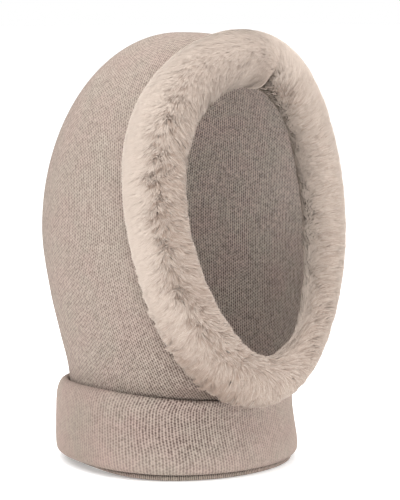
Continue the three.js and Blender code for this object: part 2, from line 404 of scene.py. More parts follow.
def fuller(angle):
    """How much longer the section is towards the back of the head, in mm."""
    return 2.6 * near_angle(angle, 222, 36) + 1.3 * near_angle(angle, 148, 30)


def short_size(angle):
    """Half the oval's short side: thicker at the brow, slimmer beside the chin, in mm."""
    thicker = 4.0 * near_angle(angle, 95, 45) + 0.6 * near_angle(angle, 215, 35)
    return 16.2 + thicker - 2.6 * near_angle(angle, 318, 32)


def oval_axes(angle):
    """The long axis, the short axis and the short half-size of the section at an angle."""
    along = loop_point(angle + 1e-3) - loop_point(angle - 1e-3)
    along[..., 1] = 0
    along = unit(along)
    outward = np.stack([along[..., 2], np.zeros_like(along[..., 0]), -along[..., 0]], -1)
    backward = np.zeros_like(outward)
    backward[..., 1] = 1
    rise = np.sin(angle)
    turn = np.radians(62 - 16 * rise**2)[..., None]
    return (
        outward * np.cos(turn) + backward * np.sin(turn),
        -outward * np.sin(turn) + backward * np.cos(turn),
        short_size(angle),
    )


print("short side at the brow:", round(2 * float(short_size(np.pi / 2)), 1), "mm")


# %% A point on the roll
def roll_point(angle, spin, proud):
    """A point on the roll: spin turns round its section, proud is the distance outside the oval."""
    long_axis, short_axis, short_half = oval_axes(angle)
    more = fuller(angle)
    across = ((OVAL_LONG + more) * np.cos(spin) + more)[..., None] * long_axis
    across = across + (short_half * np.sin(spin))[..., None] * short_axis
    slant = (np.cos(spin) / (OVAL_LONG + more))[..., None] * long_axis
    normal = unit(slant + (np.sin(spin) / short_half)[..., None] * short_axis)
    return loop_point(angle) + across + normal * np.asarray(proud)[..., None]


def roll_normal(angle, spin):
    """The outward direction of the roll's oval."""
    zero = np.zeros(np.shape(angle))
    return unit(roll_point(angle, spin, zero + 1) - roll_point(angle, spin, zero))


print("the roll's front at the brow:", roll_point(np.pi / 2, -np.pi / 2, np.zeros(())).round(1))


# %% How deep a point lies in the roll
LOOP_STEPS = np.linspace(0, 2 * np.pi, 721)[:-1]
IN_FRONT = -30


def depth_in_roll(points):
    """1 on the oval's surface, less inside it; and whether the point lies within the face opening."""
    line = loop_point(LOOP_STEPS)
    nearest = np.array([np.argmin(((line - p) ** 2).sum(-1)) for p in points])
    long_axis, short_axis, short_half = oval_axes(LOOP_STEPS[nearest])
    offset = points - line[nearest]
    more = fuller(LOOP_STEPS[nearest])
    a = ((offset * long_axis).sum(-1) - more) / (OVAL_LONG + more)
    b = (offset * short_axis).sum(-1) / short_half
    rise = np.clip((points[:, 2] - LOOP_MIDDLE) / LOOP_RISE, -1, 1)
    half_width = LOOP_WIDTH * np.sqrt(1 - rise**2) * (1 + LOOP_FLARE * rise)
    in_face = (np.abs(points[:, 0]) < half_width) & (np.abs(rise) < 1) & (points[:, 1] < IN_FRONT)
    return np.hypot(a, b), in_face


print("depth at the line:", depth_in_roll(loop_point(np.array([0.5])))[0].round(2))

# %% [markdown]
# ## The knitted layers
#
# A real hood of this kind is knitted in two side panels that meet over the crown. The ribs of the knit
# run up the sides and lean back as they climb. A sheet like that starts as one flat grid: its first
# direction is wrapped round the head and its second is drawn up to the crown, the two long edges are
# merged down the back, and the faces under the roll and in the face opening are taken away. Solidify
# then gives the wall its thickness. The counts of stitches across and up are kept in a UV map, because
# a knit pattern has to follow the cloth.

# %% Stitch counts on the surface
# The lean of the ribs dies out over LEAN_FADES mm, and is gone LEAN_GONE mm round from the side.
WALE, COURSE = 3.8, 2.28
LEAN_GONE, LEAN_FADES = 110, 70


def lengths_along(line):
    """How far along a line of points each one lies."""
    return np.concatenate([[0], np.cumsum(np.linalg.norm(np.diff(line, axis=0), axis=1))])


level_steps = np.linspace(0, 2, 801)
side_line = hood_point(np.pi / 2, level_steps)
climb = lengths_along(side_line)
turn_steps = np.linspace(0, np.pi, 241)
LEAN_HEIGHTS = [0, 60, 90, 130, 150, 170, 198, 225, 250, 272, 290, 310]
SHELL_LEAN = [0.10, 0.20, 0.25, 0.16, 0.12, 0.13, 0.14, 0.22, 0.32, 0.33, 0.15, 0.05]
LINING_LEAN = [0.10, 0.12, 0.18, 0.15, 0.10, 0.04, -0.08, -0.20, -0.32, -0.44, -0.55, -0.70]


def drift_of(lean):
    """How far a leaning rib has moved towards the back by each level."""
    slope = np.interp(side_line[:, 2], LEAN_HEIGHTS, lean)
    return np.concatenate([[0], np.cumsum((slope[1:] + slope[:-1]) / 2 * np.diff(climb))])


def stitch_counts(turn, level, drift):
    """How many ribs round from the side, and how many rows up from the hem, a point lies."""
    half_turn = np.arccos(np.cos(turn))
    distance = np.empty(len(turn))
    for row in np.unique(level):
        arc = lengths_along(hood_point(turn_steps, row))
        here = level == row
        distance[here] = arc[len(arc) // 2] - np.interp(half_turn[here], turn_steps, arc)
    fade = np.clip((LEAN_GONE - distance) / LEAN_FADES, 0, 1)
    across = distance - np.interp(level, level_steps, drift) * fade
    return across / WALE, np.interp(level, level_steps, climb) / COURSE


print("rows of stitches to the crown:", round(climb[-1] / COURSE))


# %% A grid, and its wrapping round the hood
def flat_grid(columns, rows):
    """A flat grid, and how far each of its points lies along its two directions, from 0 to 1."""
    bm = bmesh.new()
    bmesh.ops.create_grid(bm, x_segments=columns, y_segments=rows, size=0.5)
    flat = np.array([v.co[:] for v in bm.verts])
    return bm, flat[:, 0] + 0.5, flat[:, 1] + 0.5


def wrap(bm, points):
    """Moves the points of a grid to their places on the hood."""
    for vert, point in zip(bm.verts, placed(points)):
        vert.co = point


def count_stitches(bm, ribs, courses):
    """Keeps each point's counts of stitches in a UV map."""
    stitches = bm.loops.layers.uv.new("stitches")
    for vert, rib, course in zip(bm.verts, ribs, courses):
        for loop in vert.link_loops:
            loop[stitches].uv = (rib, course)


small, along, up = flat_grid(2, 1)
print("points of a grid of two cells by one:", along, up)
small.free()


# %% A named piece from a grid
def merge_edges(bm):
    """Joins the edges that meet, and turns all faces the same way."""
    bmesh.ops.remove_doubles(bm, verts=bm.verts, dist=1e-6)
    bmesh.ops.recalc_face_normals(bm, faces=bm.faces)


def thicken(piece, thickness, offset):
    """Solidify gives the sheet its wall; an offset of -1 lays it inward and 0 on both sides."""
    wall = piece.modifiers.new("wall", "SOLIDIFY")
    wall.thickness, wall.offset, wall.use_even_offset = thickness * MM, offset, False


def as_piece(name, bm):
    """A bmesh as a named object at the origin, shaded smooth."""
    mesh = bpy.data.meshes.new(name)
    bm.to_mesh(mesh)
    bm.free()
    mesh.shade_smooth()
    return show(name, mesh)


print("pieces are linked to:", bpy.context.scene.collection.name)

# %% A layer's points and its edge under the roll
LAYER_FOOT = 5.8


def layer_points(turn, level, inset):
    """The outer face of a layer that lies inset below the hood's surface."""
    points = hood_point(turn, level) - inset * hood_normal(turn, np.minimum(level, 1.999))
    points[level <= (LAYER_FOOT + 0.01) / WIDEST, 2] = LAYER_FOOT
    points[level >= 1.9999] = [0, SECTION_CENTRE, WIDEST + DOME - inset]
    return points


def slide_to_rim(turn, level, inset, under_roll):
    """Moves the edge points of a layer along it until they lie just so deep in the roll."""
    step = 2e-3
    for _ in range(5):
        depth = depth_in_roll(layer_points(turn, level, inset))[0]
        by_turn = (depth_in_roll(layer_points(turn + step, level, inset))[0] - depth) / step
        by_level = (depth_in_roll(layer_points(turn, level + step, inset))[0] - depth) / step
        pull = (under_roll - depth) / np.maximum(by_turn**2 + by_level**2, 1.0)
        turn = turn + np.clip(pull * by_turn, -0.03, 0.03)
        level = level + np.clip(pull * by_level, -0.02, 0.02)
    return turn, level


print("the layers start", LAYER_FOOT, "mm above the foot of the hem")


# %% A grid wrapped into a layer of the hood
def knit_layer(name, inset, thickness, under_roll, lean, columns=132, rows=108):
    """One open layer of knit, its outer face inset from the hood's surface."""
    bm, across, up = flat_grid(columns, rows)
    turn = across * 2 * np.pi
    foot = LAYER_FOOT / WIDEST
    level = np.round(foot + up * (2 - foot), 6)
    depth, in_face = depth_in_roll(layer_points(turn, level, inset))
    hidden = (depth < under_roll) | in_face
    shown = [v for v in bm.verts if not hidden[v.index]]
    rim = [v.index for v in shown if any(hidden[e.other_vert(v).index] for e in v.link_edges)]
    turn[rim], level[rim] = slide_to_rim(turn[rim], level[rim], inset, under_roll)
    count_stitches(bm, *stitch_counts(turn, level, drift_of(lean)))
    wrap(bm, layer_points(turn, level, inset))
    bmesh.ops.delete(bm, geom=[v for v, gone in zip(bm.verts, hidden) if gone], context="VERTS")
    merge_edges(bm)
    if sum((f.calc_center_median() - MIDDLE).dot(f.normal) for f in bm.faces) < 0:
        bmesh.ops.reverse_faces(bm, faces=bm.faces)
    layer = as_piece(name, bm)
    thicken(layer, thickness, -1)
    return layer


shell = knit_layer("shell_knit", 0.0, 1.8, 0.77, SHELL_LEAN)
lining = knit_layer("lining_knit", 2.1, 1.4, 0.77, LINING_LEAN)
print("shell faces:", len(shell.data.polygons), "lining faces:", len(lining.data.polygons))

# %% [markdown]
# ## The cuff
#
# The bottom of the hood is turned up over itself once. The band climbs close to the neck, folds over at
# its top edge, slopes away in a soft round shoulder and hangs down outside, where it curls in at its
# foot. A grid is again the start: round the neck in one direction, along the band's path in the other.

# %% The height of the fold and of the bottom edge
# FOLD_ROUND is how far the round of the fold rises over its two sides.
FOLD_ROUND = 1.2


def cuff_top(turn):
    """The height of the fold, which dips under the chin and a little at the nape."""
    return 61.5 - 8.5 * ((1 - np.cos(turn)) / 2) ** 4 - 6.0 * near_angle(turn, 0, 62)


def hem_lift(turn):
    """How far the bottom edge is drawn up at the sides of the neck; nothing in front and at the back."""
    return np.maximum(3.4 * bump_at(np.abs(turned(turn, 0)), np.radians(76), np.radians(36)) - 0.2, 0)


def beside_neck(turn, height, offset):
    """A point at a height beside the neck, offset level from the shell."""
    outward = hood_normal(turn, height / WIDEST)
    outward[..., 2] = 0
    return hood_point(turn, height / WIDEST) + unit(outward) * offset[..., None]


print("height of the fold at the back:", cuff_top(0.0))

# %% The band's path
CUFF_PATH = np.array([
    # share of the way along the band, offset from the shell, height as a share of the fold's height,
    # millimetres more than that, and how far the point follows the lift of the hem
    [0.00, 1.9, 0, LAYER_FOOT, 0], [0.38, 1.9, 1, -3.5, 0], [0.40, 1.9, 1, -0.8, 0], [0.42, 2.1, 1, 0.5, 0],
    [0.44, 3.0, 1, 1.2, 0], [0.46, 4.5, 1, 0.9, 0], [0.48, 6.2, 1, -0.8, 0], [0.51, 7.8, 1, -4.0, 0],
    [0.55, 8.9, 1, -8.0, 0], [0.61, 9.5, 1, -13.5, 0], [0.72, 9.8, 0.55, 0, 0.1], [0.84, 9.8, 0.32, 0, 0.3],
    [0.90, 9.5, 0.20, 0, 0.4], [0.94, 8.8, 0.13, 0, 0.45], [0.97, 7.3, 0.103, 0, 0.45],
    [1.0, 5.6, 0.105, 0, 0.45],
])
EVEN_STEPS, EASING = 481, 15


def cuff_path(turn, share):
    """Offset and height along the band, from the hidden foot over the fold to the outer foot."""
    even = np.linspace(0, 1, EVEN_STEPS)
    kernel = np.hanning(EASING) / np.hanning(EASING).sum()

    def eased(values):
        spread = np.pad(np.interp(even, CUFF_PATH[:, 0], values), EASING // 2, mode="edge")
        return np.interp(share, even, np.convolve(spread, kernel, "valid"))

    offset, of_top, more, follows = (eased(column) for column in CUFF_PATH[:, 1:].T)
    return offset, of_top * (cuff_top(turn) - FOLD_ROUND) + more + follows * hem_lift(turn)


print("stops along the band:", len(CUFF_PATH))


# %% The band
def neck_band(name, path, columns, rows, ribs_round, course, thickness):
    """A closed band round the neck, swept along a path, with its stitches counted."""
    bm, across, share = flat_grid(columns, rows)
    turn = across * 2 * np.pi
    offset, height = path(turn, share)
    wrap(bm, beside_neck(turn, height, offset))
    steps = np.linspace(0, 1, 200)
    run = lengths_along(np.stack(path(np.full(len(steps), np.pi * 1.5), steps), -1))
    ring = np.linspace(0, 2 * np.pi, 721)
    girth = lengths_along(hood_point(ring, 0.15))
    ribs = np.interp(turn, ring, girth) / girth[-1] * ribs_round
    count_stitches(bm, ribs, np.interp(share, steps, run) / course)
    merge_edges(bm)
    band = as_piece(name, bm)
    thicken(band, thickness, 0)
    print(name, "is", round(girth[-1]), "mm round and", round(run[-1]), "mm along its path")
    return band


cuff = neck_band("cuff_knit", cuff_path, 240, 64, 122, 2.1, 2.4)

# %% [markdown]
# ## The hem fold
#
# Under the cuff shows a narrow fold of the hood's own edge, sewn to the lining. It is a thin ring of
# soft, round section, flat underneath, with short ribs across it.

# %% The hem ring
HEM_OUTLINE = np.array([
    # offset, height and how far each point follows the lift of the bottom edge
    [-4.6, 0.3, 1], [-3.5, 0, 1], [0, 0, 1], [3.6, 0, 1], [4.8, 0.5, 1], [5.2, 1.8, 1], [4.7, 3.1, 1],
    [3.4, 3.7, 0.9], [2.2, 4.0, 0.6], [1.6, 5.2, 0], [0.4, 5.5, 0], [-1.7, 5.5, 0], [-4.0, 5.5, 0],
    [-5.1, 4.6, 0.2], [-5.2, 1.5, 0.8],
])
HEM_TOP = HEM_OUTLINE[:, 1].max()


def hem_path(turn, share):
    """Offset and height round the fold's section."""
    stops = np.arange(len(HEM_OUTLINE) + 1) / len(HEM_OUTLINE)
    closed = np.append(HEM_OUTLINE, HEM_OUTLINE[:1], axis=0)
    offset, height, follows = (np.interp(share, stops, column) for column in closed.T)
    lift = hem_lift(turn)
    return offset - 0.25 * lift * np.maximum(offset, 0), height + follows * lift * (1 - height / HEM_TOP)


def hem_ring(name, columns=240, rows=15, ribs_round=170, ribs_across=8):
    bm, across, share = flat_grid(columns, rows)
    turn = across * 2 * np.pi
    offset, height = hem_path(turn, share)
    wrap(bm, beside_neck(turn, height, offset))
    count_stitches(bm, turn / (2 * np.pi) * ribs_round, share * ribs_across)
    merge_edges(bm)
    return as_piece(name, bm)


hem = hem_ring("hem_fold")
print("hem faces:", len(hem.data.polygons))

# %% [markdown]
# ## The knit finish
#
# Plain knit shows columns of small V stitches. At arm's length the eye sees its dark gaps most: they
# stand in a staggered lattice, one at the root of each V and one between neighbouring V tops. The yarn
# is a soft wool mixture, so the columns are slightly hairy, and the colour drifts in faint clouds of
# pinker and greyer beige. The height of the yarn drives a bump, and the gaps are darker.
# Painted shade darkens the knit in its hollows beside the roll, above the cuff and low inside, and away from
# the near side of the cuff.

# %% Painted shade where the knit lies in a hollow, and where its stitches are drawn open
# ROLL_HALF is the mean half-size of the roll's section, which turns a share of it into millimetres.
ROLL_HALF = 17


def shell_marks(points, turn):
    """Painted shade beside the roll and above the cuff; open stitches low down in front."""
    gap_to_roll = np.maximum((depth_in_roll(points)[0] - 1) * ROLL_HALF, 0)
    above_cuff = np.maximum(points[:, 2] - cuff_top(turn), 0)
    strip = (0.35 + 1.1 * near_angle(turn, 192, 32)) * bump_at(above_cuff, 0, 10)
    painted_shade = 0.45 * np.exp(-gap_to_roll / 4) + strip * (1 - 0.85 * bump_at(above_cuff, 0, 3.5))
    return painted_shade, 0.85 + 0.6 * near_angle(turn, 195, 50) * bump_at(points[:, 2], 75, 35)


def lining_marks(points, turn):
    """Painted shade low down inside, most of it on the far side beside the roll."""
    low = np.clip((185 - points[:, 2]) / 60, 0, 1)
    gap_to_roll = np.maximum((depth_in_roll(points)[0] - 1) * ROLL_HALF, 0)
    on_far_side = np.clip(points[:, 0] / 40, 0, 1)
    return 0.2 * low + on_far_side * (0.08 + 0.72 * low) * np.exp(-gap_to_roll / 28), 1 + 0 * turn


def cuff_marks(points, turn):
    """Painted shade away from the near side; stitches drawn open on it, where the band is stretched."""
    drawn = (0.35 + 0.66 * near_angle(turn, -142, 42)) * (1 - 0.4 * bump_at(points[:, 2], 6, 14))
    return 0.30 * (1 - near_angle(turn, -142, 60)) + 0.26 * near_angle(turn, -85, 28), drawn


def hem_marks(points, turn):
    """The hem is even all round."""
    return 0 * turn, 1 + 0 * turn


for piece, marks in [(shell, shell_marks), (lining, lining_marks), (cuff, cuff_marks), (hem, hem_marks)]:
    points = np.array([v.co[:] for v in piece.data.vertices]) / MM - SHIFT
    turn = np.arctan2(points[:, 0], points[:, 1] - SECTION_CENTRE)
    painted_shade, drawn = marks(points, turn)
    for name, values in [("painted_shade", np.clip(painted_shade, 0, 1)), ("drawn", drawn)]:
        layer = piece.data.attributes.new(name, "FLOAT", "POINT")
        layer.data.foreach_set("value", values.astype(np.float32))
    print(piece.name, "deepest hollow:", round(float(painted_shade.max()), 2))

# %% The knit material
def knit_finish(name, yarn, gap, ribs=0.5, dots=0.5, clouds=0.05, deep=0.45, uneven_by=1.7):
    """yarn and gap are the colours of the yarn's top and of the gaps between stitches."""
    f = Finish(name)
    counts = f.node("ShaderNodeUVMap", {"uv_map": "stitches"})
    split = f.node("ShaderNodeSeparateXYZ", Vector=counts.outputs[0])
    wander = (f.noise(55, 1.0) - 0.5) * 0.5
    across = Value(f.tree, split.outputs[0]) + wander
    up = Value(f.tree, split.outputs[1]) + (f.noise(70, 1.0) - 0.5) * 0.7
    turn = 2 * math.pi
    column = 0.5 - 0.5 * (across * (2 * turn)).cosine()
    lattice = 0.5 + 0.5 * (across * turn).cosine() * (up * turn).cosine()
    from_root = ((across + 0.5).math("FRACT") - 0.5).math("ABSOLUTE")
    legs = 0.5 + 0.5 * ((up - from_root * 3.0) * turn).cosine()
    yarn_height = column * ribs + (1 - lattice) * dots + legs * column * 0.22
    drawn, painted_shade = f.mark("drawn"), f.mark("painted_shade")
    uneven = f.noise(420, 2.0, 0.6)
    fibre = f.noise(1500, 2.0, 0.7)
    height = yarn_height * (0.6 + 0.8 * uneven) * drawn + fibre * 0.18
    cover = (yarn_height / (ribs + dots) * 1.15 + (uneven - 0.5) * uneven_by).limited()
    cover = 1 - (1 - cover) * drawn
    cloud = f.noise(38, 3.0, 0.6)
    speck = f.noise(520, 2.0, 0.7)
    patch = f.noise(120, 2.0, 0.6)
    pinker = (1 + clouds * 0.6, 1 - clouds * 0.6, 1 - clouds * 0.2, 1)
    greyer = (1 - clouds * 0.4, 1 + clouds * 0.4, 1 + clouds * 0.1, 1)
    colour = f.between(cover, gap, yarn)
    for amount, low, high in [
        ((cloud - 0.35) * 3.0, pinker, greyer),
        ((patch - 0.3) * 2.5, (*[1 - clouds] * 3, 1), (*[1 + clouds] * 3, 1)),
        ((speck - 0.25) * 2.0, (0.89, 0.865, 0.86, 1), (1.09, 1.095, 1.095, 1)),
        # painted shade in the hollows, down to about half the colour
        (painted_shade, (1, 1, 1, 1), (0.5, 0.46, 0.44, 1)),
    ]:
        product = f.node("ShaderNodeVectorMath", {"operation": "MULTIPLY"})
        f.put(product.inputs[0], colour)
        f.put(product.inputs[1], f.between(amount, low, high))
        colour = product.outputs[0]
    f.surface(Base_Color=colour, Roughness=0.95, Specular_IOR_Level=0.15)
    f.surface(Sheen_Weight=0.3, Sheen_Roughness=0.5, Sheen_Tint=yarn)
    f.relief(height, deep * MM)
    return f.material


print("a row of stitches is", COURSE, "mm high and a rib", WALE, "mm wide")

# %% The four knits
shell_finish = knit_finish("shell wool knit", (0.325, 0.273, 0.233, 1), (0.09, 0.063, 0.052, 1), clouds=0.035)
# The lining is the shell's yarn painted much lighter: painted light that makes up for the shade inside the
# hood.
lining_finish_painted_light = knit_finish("lining wool knit", (0.78, 0.70, 0.63, 1), (0.145, 0.118, 0.104, 1), clouds=0.045)
cuff_finish = knit_finish(
    "cuff wool knit", (0.348, 0.286, 0.246, 1), (0.068, 0.043, 0.037, 1),
    ribs=0.6, dots=0.4, clouds=0.045, deep=0.6, uneven_by=2.0,
)
hem_finish = knit_finish(
    "hem wool knit", (0.42, 0.35, 0.295, 1), (0.10, 0.08, 0.068, 1), ribs=0.85, dots=0.15,
)
for piece, finish in [(shell, shell_finish), (lining, lining_finish_painted_light), (cuff, cuff_finish), (hem, hem_finish)]:
    piece.data.materials.append(finish)
print("knit finishes:", [m.name for m in bpy.data.materials if "knit" in m.name])

# %% [markdown]
# ## The plush roll
#
# Under the pile is the backing of the plush, rolled round a soft filling: a padded ring that the pile
# hides almost completely. It is a grid again, wrapped round the loop and round the oval, and merged
# both ways. Its face stands for the dense short under-hair, a little below the tips of the long locks.
# Beside the brow the roll is pinched into a crease, and its inner rims swell a little on both sides of
# the face, so a function of the place on the roll moves the core and the pile in and out together.

# %% The pinch at the brow
PILE = 5.6
CREASE_AT, BROW_RADIUS = np.radians(77), 82


def past_crease(angle):
    """Millimetres along the inner side of the roll from the crease, more towards the near side."""
    return turned(angle, CREASE_AT) * BROW_RADIUS


def pinch(angle, spin):
    """How far the roll swells, or sinks if less than 0, at the crease and the inner rim, in mm."""
    past = past_crease(angle)
    crease = 1.5 * bump_at(past, 6.5, 6) - 4.8 * bump_at(past, -2.2, 3.2) - 1.6 * bump_at(past, -8, 6)
    near_rim = 3.0 * near_angle(angle, 152, 42) * near_angle(spin, 172, 42)
    far_rim = 2.4 * near_angle(angle, 5, 50) * near_angle(spin, 56, 26)
    slim = 2.4 * near_angle(angle, 304, 18) * near_angle(spin, 100, 42)
    return near_angle(spin, 160, 40) * crease + near_rim + far_rim - slim


across_crease = pinch(np.radians(np.arange(60, 90, 0.25)), np.radians(165))
print("deepest point of the crease:", round(float(across_crease.min()), 1), "mm")

# %% The padded core
UNDER = 3.3


def fur_core(name, columns=240, rows=40):
    bm, round_loop, round_section = flat_grid(columns, rows)
    angle, spin = round_loop * 2 * np.pi, round_section * 2 * np.pi
    wrap(bm, roll_point(angle, spin, pinch(angle, spin) - UNDER))
    merge_edges(bm)
    return as_piece(name, bm)


core = fur_core("fur_core")
print("core faces:", len(core.data.polygons))

# %% [markdown]
# ## One lock of pile
#
# Plush is many thousands of fine hairs that cling together in small locks. Each lock here is one slim,
# bent, pointed blade of three faces whose flat side looks outwards, so that a great many can be used.
# A strip of two cells with its far end drawn to a point is the pattern, bent along every lock's curve.

# %% The pattern of a lock
bm = bmesh.new()
bmesh.ops.create_grid(bm, x_segments=1, y_segments=2, size=0.5)
bmesh.ops.translate(bm, verts=bm.verts, vec=(0, 0.5, 0))
far_end = [v for v in bm.verts if v.co.y > 0.9]
bmesh.ops.pointmerge(bm, verts=far_end, merge_co=(0, 1, 0))
bmesh.ops.triangulate(bm, faces=bm.faces)
bm.verts.ensure_lookup_table()
blade_points = np.array([v.co[:] for v in bm.verts])
blade_faces = np.array([[v.index for v in face.verts] for face in bm.faces])
bm.free()
blade_across, blade_share = blade_points[:, 0], blade_points[:, 1]
print("a lock has", len(blade_points), "points and", len(blade_faces), "faces")

# %% [markdown]
# ## Where the locks grow and how they lie
#
# Real pile does not stand straight. From a parting that wanders along the roll it lies over to both
# sides and trails a little along the loop, and neighbours lean together and leave darker gaps at their
# roots. Where the parting is closed, the locks lie along it. The roots are scattered over the core with
# a fixed seed, fewer behind it. Each lock is written in the roll's own terms: the place along the loop,
# the place round the section and the height. A lock that lies over then follows the round of the roll.

# %% Smooth noise on the roll
rng = np.random.default_rng(7)
LOCKS = 210000


def wave_noise(angle, spin, low, high, count=14):
    """Smooth random waves over the roll, about -1 to 1, that close up both ways."""
    total = np.zeros(np.broadcast(angle, spin).shape)
    for _ in range(count):
        round_loop = rng.integers(low, high + 1)
        round_section = rng.integers(-(high // 6) - 1, high // 6 + 2)
        total = total + np.sin(round_loop * angle + round_section * spin + rng.uniform(0, 2 * np.pi))
    return total / math.sqrt(count / 2) / 1.6


def roll_steps(angle, spin):
    """How many millimetres one radian is at the roots, along the loop and round the section."""
    step = 1e-3
    deep = np.full(np.shape(angle), -PILE)
    along = (roll_point(angle + step, spin, deep) - roll_point(angle - step, spin, deep)) / (2 * step)
    section = (roll_point(angle, spin + step, deep) - roll_point(angle, spin - step, deep)) / (2 * step)
    return np.linalg.norm(along, axis=-1), np.linalg.norm(section, axis=-1)


print("locks to scatter:", LOCKS)

# %% The roots
ROUND_STEPS, SECTION_STEPS = 400, 72
grid = np.meshgrid(np.arange(ROUND_STEPS), np.arange(SECTION_STEPS), indexing="ij")
angle_grid, spin_grid = grid[0] * 2 * np.pi / ROUND_STEPS, grid[1] * 2 * np.pi / SECTION_STEPS
along_mm, section_mm = roll_steps(angle_grid, spin_grid)
weight = along_mm * section_mm * (1 - 0.75 * near_angle(spin_grid, 12, 28))
chance = (weight / weight.sum()).ravel()
cells = rng.choice(len(chance), size=LOCKS, p=chance)
angle = angle_grid.ravel()[cells] + rng.uniform(-0.5, 0.5, LOCKS) * 2 * np.pi / ROUND_STEPS
spin = spin_grid.ravel()[cells] + rng.uniform(-0.5, 0.5, LOCKS) * 2 * np.pi / SECTION_STEPS
mm_along, mm_section = roll_steps(angle, spin)
print("their ground:", round((along_mm * section_mm).mean() * 4 * np.pi**2), "square mm")

# %% The parting and the lie of the pile
LIE = np.array([
    # place on the loop, where the parting runs, how open it is, over how many mm it turns, how far tips
    # trail along the loop, then how ruffled the pile is outside the parting and inside it, and the painted
    # light on it outside and inside, painted shade where that is below 0
    [0, 70, 0.0, 9, 0.2, 0.34, 0.30, -0.11, 0.06], [40, 80, 0.0, 9, 0.6, 0.34, 0.32, -0.03, 0.12],
    [68, 130, 0.0, 10, 2.0, 0.22, 0.38, 0.08, 0.08], [84, 250, 0.0, 13, 2.5, 0.04, 0.22, 0.05, -0.02],
    [105, 258, 0.1, 13, 3.0, 0.03, 0.24, 0.08, -0.10], [130, 258, 0.6, 9, 4.0, 0.07, 0.40, 0.22, -0.18],
    [165, 246, 1.0, 7, 4.5, 0.14, 0.46, 0.18, -0.33], [200, 245, 1.0, 7, 4.5, 0.20, 0.46, 0.10, -0.33],
    [222, 236, 0.8, 7, 5.0, 0.34, 0.50, -0.10, -0.22], [240, 205, 0.4, 8, 6.0, 0.46, 0.52, -0.32, -0.18],
    [262, 165, 0.1, 9, 6.5, 0.52, 0.50, -0.18, -0.12], [290, 122, 0.0, 9, 4.5, 0.48, 0.46, -0.28, -0.12],
    [320, 84, 0.0, 9, 1.5, 0.38, 0.42, -0.26, -0.08], [345, 72, 0.0, 9, 0.4, 0.36, 0.34, -0.20, 0.04],
    [360, 70, 0.0, 9, 0.2, 0.34, 0.30, -0.11, 0.06],
])
zero = 0 * angle
degrees = np.degrees(angle) % 360
lie = [np.interp(degrees, LIE[:, 0], column) for column in LIE[:, 1:].T]
parting, strong, narrow, trail, rough_out, rough_in, painted_light_out, painted_light_in = lie
wander = 0.08 * wave_noise(angle, zero, 3, 14)
parting = np.radians(parting) + wander + 0.14 * strong * wave_noise(angle, zero, 20, 60)
# The two lies of the pile meet again MEET further round than opposite the parting, beside the knit.
MEET = np.radians(60)
away_mm = (turned(spin - MEET, parting) + MEET) * mm_section
lying = np.clip(np.abs(away_mm) / 13.0, 0, 1)
aside = np.tanh(away_mm / narrow)
run = aside * (3.5 + 4.5 * lying)
trail = trail * 0.8 + (1 - strong) * 6.0 * np.sqrt(1 - aside**2)
scattered = np.clip(0.42 + 0.95 * wave_noise(angle, spin, 40, 120, 24), 0.0, 1.4)
parted = bump_at(away_mm, 0, 4.2) * strong * scattered
print("mean run of a lock:", round(float(np.abs(run).mean()), 1), "mm")

# %% The pile at the crease and the tufts beside it
inner_side = near_angle(spin, 160, 40)
past = past_crease(angle)
fold = bump_at(past, -2.0, 2.6) * inner_side
shoulder = bump_at(past, -7.0, 5.0) * inner_side
lip = bump_at(past, 3.5, 4.0) * inner_side
tufts = bump_at(turned(angle, np.radians(60)), 0, 0.2) * bump_at(turned(spin, np.radians(150)), 0, 0.4)
parted = np.maximum(parted, 0.6 * tufts)
print("locks in the crease:", int((fold > 0.5).sum()))

# %% The tip of every lock
outside = 0.5 + 0.5 * aside
speckled = near_angle(angle, 0, 55) * near_angle(spin, 115, 38)
ruffle = rough_out * outside + rough_in * (1 - outside) + 0.5 * parted + 0.12 * speckled
waver = wave_noise(angle, spin, 10, 50, 24)
tip_along = trail + (0.3 + 3 * ruffle) * waver + 2 * ruffle * rng.normal(0, 1, LOCKS) - 3.5 * lip
tip_along = tip_along * (1 - 0.9 * fold) - 3.0 * shoulder
waver = wave_noise(angle, spin, 10, 50, 24)
tip_round = run + (0.2 + 3 * ruffle) * waver + 1.5 * ruffle * rng.normal(0, 1, LOCKS)
waver = wave_noise(angle, spin, 12, 70, 20)
share_of_pile = 0.95 + 0.15 * ruffle * waver + 0.13 * ruffle * rng.normal(0, 1, LOCKS)
height = PILE * share_of_pile * (1 - 0.6 * fold)
print("mean height of a tip:", round(float(height.mean()), 2), "mm")

# %% Tufts that hang beside the chin, and shorter pile on the far inner rim
hanging = near_angle(angle, 240, 42) * near_angle(spin, 312, 48)
hanging = hanging * np.clip(wave_noise(angle, spin, 40, 110, 20), -0.4, 1.4)
short = near_angle(angle, 18, 52) * near_angle(spin, 72, 20)
height = (height + 2.0 * hanging) * (1 - 0.4 * short)
tip_round = tip_round + 3.0 * hanging
tip_along = tip_along * (1 - 0.5 * short)
print("most that a tuft hangs:", round(float(3.0 * hanging.max()), 1), "mm")

# %% The curve of every lock
swell = pinch(angle, spin)


def lock_place(along_shift, round_shift, lift):
    """A point of each lock, from its two shifts and its lift in mm."""
    return roll_point(angle + along_shift / mm_along, spin + round_shift / mm_section, lift + swell - PILE)


ROOT = 1.8
roots = lock_place(zero, zero, ROOT)
middles = lock_place(0.42 * tip_along, 0.42 * tip_round, ROOT + 0.7 * (height - ROOT))
tips = lock_place(tip_along, tip_round, height)
print("longest lock:", round(float(np.linalg.norm(tips - roots, axis=1).max()), 1), "mm")


# %% Neighbours that lean together
def clump(points, ends, size, pull, seed):
    """Moves the ends of locks towards the end of the nearest of a few leader locks."""
    leaders = np.random.default_rng(seed).choice(len(points), len(points) // size, replace=False)
    tree = kdtree.KDTree(len(leaders))
    for i, leader in enumerate(leaders):
        tree.insert(points[leader], i)
    tree.balance()
    nearest = np.array([tree.find(point)[1] for point in points])
    return ends + (ends[leaders][nearest] - ends) * pull[:, None]


